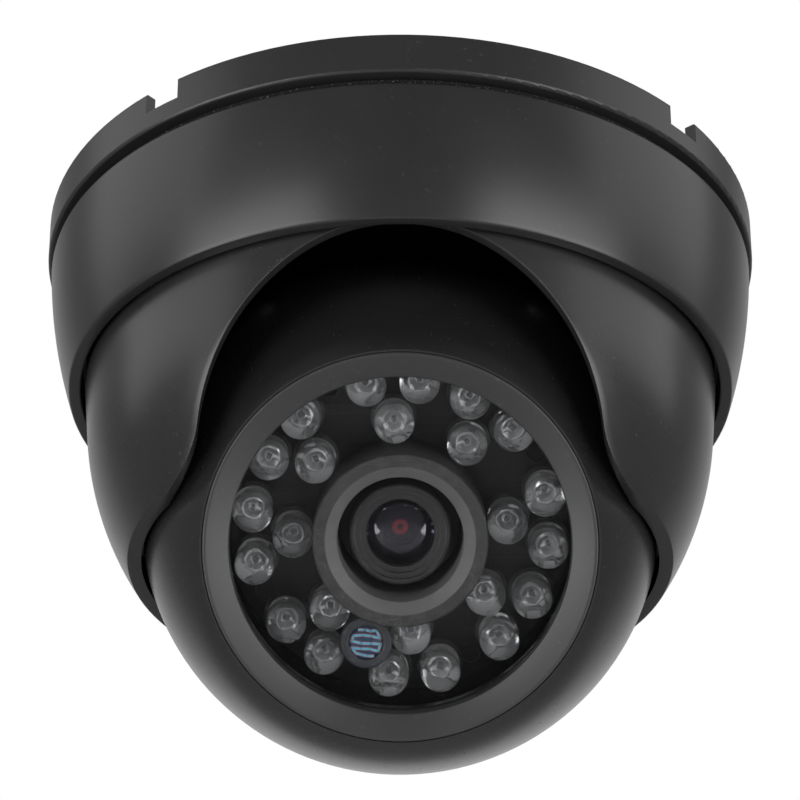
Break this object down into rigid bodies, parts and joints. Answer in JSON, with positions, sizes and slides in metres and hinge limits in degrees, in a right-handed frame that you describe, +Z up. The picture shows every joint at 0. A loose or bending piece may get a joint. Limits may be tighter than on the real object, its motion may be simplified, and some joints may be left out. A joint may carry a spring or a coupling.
{
  "type": "dome cctv camera",
  "caption": "Ceiling dome camera with a fixed base, a twist-on bell, a panning turret and a tilting eyeball with infrared lights around its lens behind a round window.",
  "frame": {"origin": "centre of the ceiling face, on the pan axis", "axes": "+Z up towards the ceiling, -Y towards the front where the lens looks at rest, +X to the right seen from the front"},
  "size_m": [0.092, 0.092, 0.0735],
  "materials": {
    "base_black": "satin moulded black",
    "bell_black": "semi-gloss moulded black",
    "turret_black": "semi-gloss moulded black",
    "eyeball_black": "semi-gloss moulded black",
    "bezel_black": "satin moulded black",
    "inner_black": "matt moulded black",
    "foam_black": "open foam",
    "rubber_black": "smooth rubber",
    "hood_rubber": "fine-textured rubber",
    "washer_nylon": "matt nylon",
    "pin_steel": "ground",
    "screw_steel": "zinc plated",
    "window_clear": "polished",
    "lens_coated": "coated",
    "filter_glass": "dichroic",
    "led_clear": "clear epoxy",
    "ldr_face": "glazed track",
    "sleeve_grey": "shrink sleeve",
    "led_pcb": "black solder mask",
    "sensor_pcb": "green solder mask",
    "barrel_black": "anodised black",
    "chip_ceramic": "ceramic",
    "standoff_brass": "turned",
    "connector_white": "moulded nylon"
  },
  "bodies": {
    "base": {"mount_base": "base_black", "cable_grommet": "rubber_black", "base_gasket": "foam_black", "pan_friction_ring": "rubber_black"},
    "cover": {"bell_housing": "bell_black"},
    "turret": {"turret_shroud": "turret_black", "trunnion_pins": "pin_steel", "tilt_washers": "washer_nylon"},
    "eyeball": {"eyeball_front": "eyeball_black", "eyeball_rear": "eyeball_black", "eyeball_screws": "screw_steel", "bezel_ring": "bezel_black", "window_glass": "window_clear", "window_seal": "rubber_black"},
    "module": {"module_carrier": "inner_black", "led_board": "led_pcb", "ir_leds_outer": "led_clear", "ir_leds_inner": "led_clear", "ldr_sensor": "ldr_face", "ldr_sleeve": "sleeve_grey", "lens_hood": "hood_rubber", "lens_barrel": "barrel_black", "lens_front_glass": "lens_coated", "lens_rear_glass": "lens_coated", "lens_holder": "inner_black", "holder_screws": "screw_steel", "ir_cut_filter": "filter_glass", "image_sensor": "chip_ceramic", "sensor_board": "sensor_pcb", "board_standoffs": "standoff_brass", "board_screws": "screw_steel", "led_connector": "connector_white", "power_connector": "connector_white"}
  },
  "joints": [
    {"name": "cover_twist", "type": "hinge", "parent": "base", "child": "cover", "pos_m": [0, 0, -0.0157], "axis": [0, 0, 1], "range_deg": [0, 22]},
    {"name": "pan", "type": "hinge", "parent": "cover", "child": "turret", "pos_m": [0, 0, -0.0196], "axis": [0, 0, 1], "range_deg": [-172, 172]},
    {"name": "tilt", "type": "hinge", "parent": "turret", "child": "eyeball", "pos_m": [0, 0, -0.0409], "axis": [1, 0, 0], "range_deg": [-30, 50]},
    {"name": "roll", "type": "hinge", "parent": "eyeball", "child": "module", "pos_m": [0, 0, -0.0409], "axis": [0, -0.766, -0.6428], "range_deg": [-175, 175]}
  ]
}
